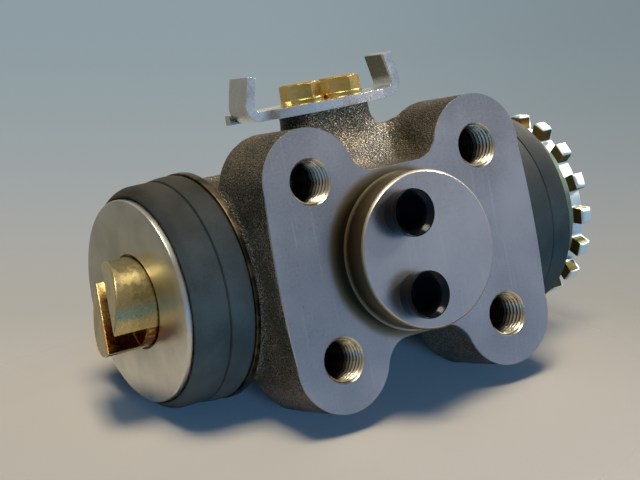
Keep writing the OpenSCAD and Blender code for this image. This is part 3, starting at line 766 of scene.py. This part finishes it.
def makeThreads():
    # a sleeve in each tapped hole: its inner wall is a triangle wave that climbs one pitch a turn
    s = tapShape
    y = np.arange(0, s["depth"], s["pitch"] / s["rows"])
    angle = np.linspace(0, 2 * math.pi, s["segments"], endpoint=False)
    phase = (y[:, None] / s["pitch"] + angle[None, :] / (2 * math.pi)) % 1
    wall = s["minor"] + (s["major"] - s["minor"]) * np.clip(np.abs(phase - 0.5) * 2.4 - 0.2, 0, 1)
    wall = np.maximum(wall, s["mouth"] - y[:, None])
    back = np.full((2, s["segments"]), s["outer"])
    r = np.concatenate([back, wall])
    depth = np.concatenate([[s["depth"]], [-s["proud"]], y - s["proud"]])
    along = np.repeat(depth[:, None], s["segments"], 1)
    ring = np.stack([r * np.cos(angle), along, r * np.sin(angle)], -1).reshape(-1, 3)
    faces = outward(ring, gridFaces(len(depth), s["segments"]))
    places = [(sx * holeX, 0, sz * holeZ) for sx in (-1, 1) for sz in (-1, 1)]
    points = np.concatenate([ring + np.array(p) for p in places])
    faces = np.concatenate([faces + i * len(ring) for i in range(len(places))])
    piece = newPiece("holeThreads", points, faces, thread, "housing", 40)
    print("thread sleeves have", len(faces), "faces")


makeThreads()

# boots: two moulded bands with a groove between, on the boot seat and behind the cover disc

bootShape = {"groove": 1.0, "grooveHalf": 0.3, "crown": 0.35, "hem": 0.9, "hemDrop": 0.5, "seat": 25.5,
             "discR": 24.0, "lip": 19.3, "wall": 2.4, "heldBack": 1.5, "heldFront": 2.6}
leftLip = {"taper": 0.55, "groove": 8.6, "wrap": 0.9, "slope": 2.5, "edge": 27.9, "inner": 27.35}
rightLip = {"taper": 1.9, "groove": 4.6, "wrap": 1.9, "slope": 1.9, "edge": 28.1, "inner": 27.35}


def makeBoot(side, name, node, lip):
    # the front band ends in a sloped shoulder whose lip laps over the cover disc's rim
    s = bootShape
    low, high = boxMm(node)
    start, reach = sorted((abs(low[0]), abs(high[0])))
    baseR = (high[2] - low[2]) / 2
    bandR = baseR - lip["taper"]
    groove = reach - lip["groove"]
    front = reach + lip["wrap"]
    back = reach - s["wall"]
    rearBand = [(start, s["seat"]), (start, baseR - s["hemDrop"], 0.3), (start + s["hem"], baseR, 0.8),
                ((start + groove) / 2, (baseR + bandR) / 2 + s["crown"], 4)]
    middle = [(groove - s["grooveHalf"], bandR + 0.15, 0.2), (groove, bandR - s["groove"]),
              (groove + s["grooveHalf"], bandR, 0.2)]
    frontBand = [(front - lip["slope"], bandR, 1.8), (front, lip["edge"], 0.5), (front, lip["inner"], 0.2),
                 (reach, lip["inner"]), (reach, s["discR"])]
    inside = [(reach - 0.05, s["lip"], 0.4), (back, s["lip"], 0.4), (back, s["seat"])]
    profile = [(side * p[0], *p[1:]) for p in rearBand + middle + frontBand + inside]
    points, faces = turned(softened(profile, 6), 224)
    piece = newPiece(name, points, outward(points, faces), rubber, None, 50)
    side * (start + s["heldBack"]) * mm
    side * (reach - s["heldFront"]) * mm
    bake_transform(piece)
    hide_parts(node)


makeBoot(-1, "leftBoot", "left_boot", leftLip)
makeBoot(1, "rightBoot", "right_boot", rightLip)
print("boots made")

# cover discs

discShape = {"rim": 0.45, "face": 0.35, "back": 0.3, "slack": 0.4, "leftHole": 12.6, "rightHole": 10.5}


def makeDisc(side, name, node, holeR):
    # a flat ring with soft edges
    s = discShape
    low, high = boxMm(node)
    inner, outer = sorted((abs(low[0]), abs(high[0])))
    rimR = (high[2] - low[2]) / 2 - s["slack"]
    profile = [(inner, holeR), (inner, rimR, s["back"]), (outer, rimR, s["rim"]), (outer, holeR, s["face"])]
    piece = lathePiece(name, [(side * p[0], *p[1:]) for p in profile], cover, bodyOf[node], 30, 224)
    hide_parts(node)


makeDisc(-1, "leftDisc", "left_cover_disc", discShape["leftHole"])
makeDisc(1, "rightDisc", "right_cover_disc", discShape["rightHole"])

# machined and pressed pieces, from their nodes with broken edges

edgeWidth = {"tappet": 0.5, "screw": 0.3, "wheel": 0.8, "plate": 0.5, "bolts": 0.4, "washers": 0.2}
wheelRim = 22.9

nodePiece("left_tappet", "tappet", tappetGold, edgeWidth["tappet"])
nodePiece("adjuster_screw", "adjusterScrew", screwGold, edgeWidth["screw"])
nodePiece("star_wheel", "starWheel", wheelPlating, edgeWidth["wheel"], wheelRim)
nodePiece("guide_plate", "guidePlate", zinc, edgeWidth["plate"])
nodePiece("plate_bolts", "plateBolts", boltGold, edgeWidth["bolts"])
nodePiece("plate_washers", "plateWashers", boltGold, edgeWidth["washers"])

plugShape = {"lip": 0.3, "lipH": 1.8, "end": 0.7, "edge": 0.25, "flare": 1.5, "deep": 1.6, "pole": 0.02}


def makePlug(name, node):
    # turned round its port: a lipped shank whose mouth flares out to a thin edge
    s = plugShape
    low, high = boxMm(node)
    lipR = (high[0] - low[0]) / 2
    shankR = lipR - s["lip"]
    boreR = lipR - s["edge"] - s["flare"]
    mouth, tip = low[1], high[1]
    neck = mouth + s["lipH"]
    floor = tip - s["end"]
    shank = [(tip, s["pole"]), (tip, shankR - s["end"], 0.2), (floor, shankR, 0.1), (neck, shankR)]
    lip = [(neck, lipR, 0.1), (mouth, lipR, 0.12), (mouth, lipR - s["edge"], 0.1)]
    bore = [(mouth + s["deep"], boreR, 0.9), (mouth + 2 * s["deep"], boreR), (floor, boreR),
            (floor, s["pole"])]
    points, faces = turned(softened(shank + lip + bore), 96)
    along, across, upward = (points - np.array([0, boreY, 0])).T
    points = np.stack([(low[0] + high[0]) / 2 + across, along, (low[2] + high[2]) / 2 + upward], -1)
    piece = newPiece(name, points, outward(points, faces), plug, bodyOf[node], 30)
    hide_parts(node)


makePlug("upperPlug", "upper_port_plug")
makePlug("lowerPlug", "lower_port_plug")
print("fittings dressed")

# inner pieces keep their nodes, apart from the spring

innerFinish = {"piston": innerMetal("turnedPiston", innerLook["piston"]), "seal": rubber,
               "spring_steel": innerMetal("springSteel", innerLook["spring"])}
for node, slot in slotOf.items():
    if slot in innerFinish:
        frame["nodes"][node].data.materials.clear()
        frame["nodes"][node].data.materials.append(innerFinish[slot])


def makeSpringHalf(side, name):
    # half of the return spring
    mesh, work = nodeMesh("return_spring")
    cutFlat(work, (0, boreY, 0), (-side, 0, 0))
    work.to_mesh(mesh)
    work.free()
    piece = dress(mesh, name, innerFinish["spring_steel"], None, 40)
    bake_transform(piece)
    return piece


springLeft = makeSpringHalf(-1, "springLeft")
makeSpringHalf(1, "springRight")
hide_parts("return_spring")
print("spring made")

# stage: the part lies back on its boots and lower lobes

stage = {"tilt": 15.4, "height": -41.1, "paper": (0.695, 0.63, 0.52), "solid": 0.058, "gone": 0.10,
         "centre": (-0.045, 0.02), "stretch": 0.72, "across": (-0.32, 0.32), "along": (-0.22, 0.24),
         "lines": 17}


def makeFloor():
    # a flat sheet that fades out round the part, so the surroundings show beyond it
    tilt = math.radians(stage["tilt"])
    f = Finish(bpy.data.materials.new("floorPaper"))
    x, y, z = f.axes()
    centreX, centreY = stage["centre"]
    far = (((x - centreX) * stage["stretch"]) ** 2 + (y - centreY) ** 2) ** 0.5
    f.surface({"Base Color": stage["paper"], "Roughness": 0.95, "Specular IOR Level": 0.1,
               "Alpha": f.step(far, stage["gone"], stage["solid"])})
    lines = stage["lines"]
    spans = [np.linspace(*stage[key], lines) for key in ("across", "along")]
    gx, gy = np.meshgrid(*spans, indexing="ij")
    r, c = np.meshgrid(np.arange(lines - 1), np.arange(lines - 1), indexing="ij")
    near = r * lines + c
    beyond = near + lines
    faces = np.stack([near, beyond, beyond + 1, near + 1], -1).reshape(-1, 4)
    up = np.array([0, -math.sin(tilt), math.cos(tilt)])
    back = np.array([0, math.cos(tilt), math.sin(tilt)])
    points = gx.reshape(-1, 1) * np.array([1, 0, 0]) + gy.reshape(-1, 1) * back + up * stage["height"] * mm
    floor = newPiece("floor", points / mm, faces, f.material)


makeFloor()

# lamps: with lights one falls on matt surfaces, with shines it shows in glossy ones

lamps = {"keyLight": {"place": (-0.09, -0.31, 0.94), "target": (0, 0.03, 0), "size": 0.38, "power": 7.2,
                      "colour": (1.0, 0.90, 0.74), "lights": True, "shines": True},
         "coolLight": {"place": (0.85, -0.50, 0.42), "target": (0.02, 0.03, 0), "size": 0.2, "power": 5.0,
                       "colour": (0.95, 0.98, 1.0), "lights": False, "shines": True},
         "rimLight": {"place": (0.75, 0.25, 0.62), "target": (0.0, 0.03, 0.02), "size": 0.2, "power": 10.0,
                      "colour": (1.0, 0.95, 0.86), "lights": False, "shines": True},
         "bounceLight": {"place": (-0.28, -0.95, -0.19), "target": (-0.03, 0.03, 0), "size": 0.4,
                         "power": 18.0, "colour": (0.15, 0.40, 0.92), "lights": True, "shines": False}}


def makeLamp(name, lamp):
    data = bpy.data.lights.new(name, "AREA")
    data.energy = lamp["power"]
    data.size = lamp["size"]
    data.color = lamp["colour"]
    made = bpy.data.objects.new(name, data)
    made.location = lamp["place"]
    aim = Vector(lamp["target"]) - Vector(lamp["place"])
    made.rotation_euler = aim.to_track_quat("-Z", "Y").to_euler()
    made.visible_diffuse = lamp["lights"]
    made.visible_glossy = lamp["shines"]
    bpy.context.scene.collection.objects.link(made)


for name, lamp in lamps.items():
    makeLamp(name, lamp)

# surroundings by direction: a paper sweep behind, warm to the left, blue in front, and a blue fill

sweep = [(0.0, (0.55, 0.495, 0.425)), (0.28, (0.43, 0.40, 0.345)), (0.55, (0.38, 0.385, 0.375)),
         (1.0, (0.265, 0.335, 0.365))]
around = {"back": (0.42, 0.40, 0.35), "left": (0.20, 0.205, 0.19), "leftLow": (0.20, 0.18, 0.12),
          "backLow": (0.12, 0.12, 0.105), "front": (0.24, 0.222, 0.215), "frontLow": (0.15, 0.305, 0.53),
          "right": (0.40, 0.44, 0.56), "above": (0.34, 0.34, 0.32), "fill": (0.006, 0.025, 0.045)}


def makeWorld():
    # the sweep for the camera, the surroundings for glossy rays, the fill for the rest
    world = bpy.data.worlds.new("studio")
    bpy.context.scene.world = world
    f = Finish(world, "Background", "Generated")
    x, y, z = f.axes()
    height = f.step(x * 0.203 - y * 0.028 + z * 0.979, -0.135, 0.135)  # up in the picture
    sideways = x * 0.830 - y * 0.5255 - z * 0.187  # right in the picture
    darker = f.step(sideways, -0.05, 0.19) * height * 0.22
    seen = f.mix(darker, f.ramp(height, sweep), (0.0, 0.0, 0.0))
    front = f.mix(f.step(z, -0.21, 0.0), around["frontLow"], around["front"])
    front = f.mix(f.step(x, 0.50, 0.72), front, around["right"])
    left = f.mix(f.step(z, -0.22, 0.10), around["leftLow"], around["left"])
    left = f.mix(f.step(z, -0.22, -0.30), left, around["backLow"])
    level = f.mix(f.step(y, -0.6, 0.6), front, around["back"])
    level = f.mix(f.step(x * -0.75 + y * 0.5, 0.3, 0.9), level, left)
    mirrored = f.mix(f.step(z, 0.15, 0.8), level, around["above"])
    paths = f.node("ShaderNodeLightPath", {}, {}, "Is Camera Ray").socket.node.outputs
    camera, glossy = Wire(f, paths["Is Camera Ray"]), Wire(f, paths["Is Glossy Ray"])
    f.feed(f.shader.inputs[0], f.mix(camera, f.mix(glossy, around["fill"], mirrored), seen))


makeWorld()
bpy.context.scene.view_settings.view_transform = "Standard"
print("stage lit")
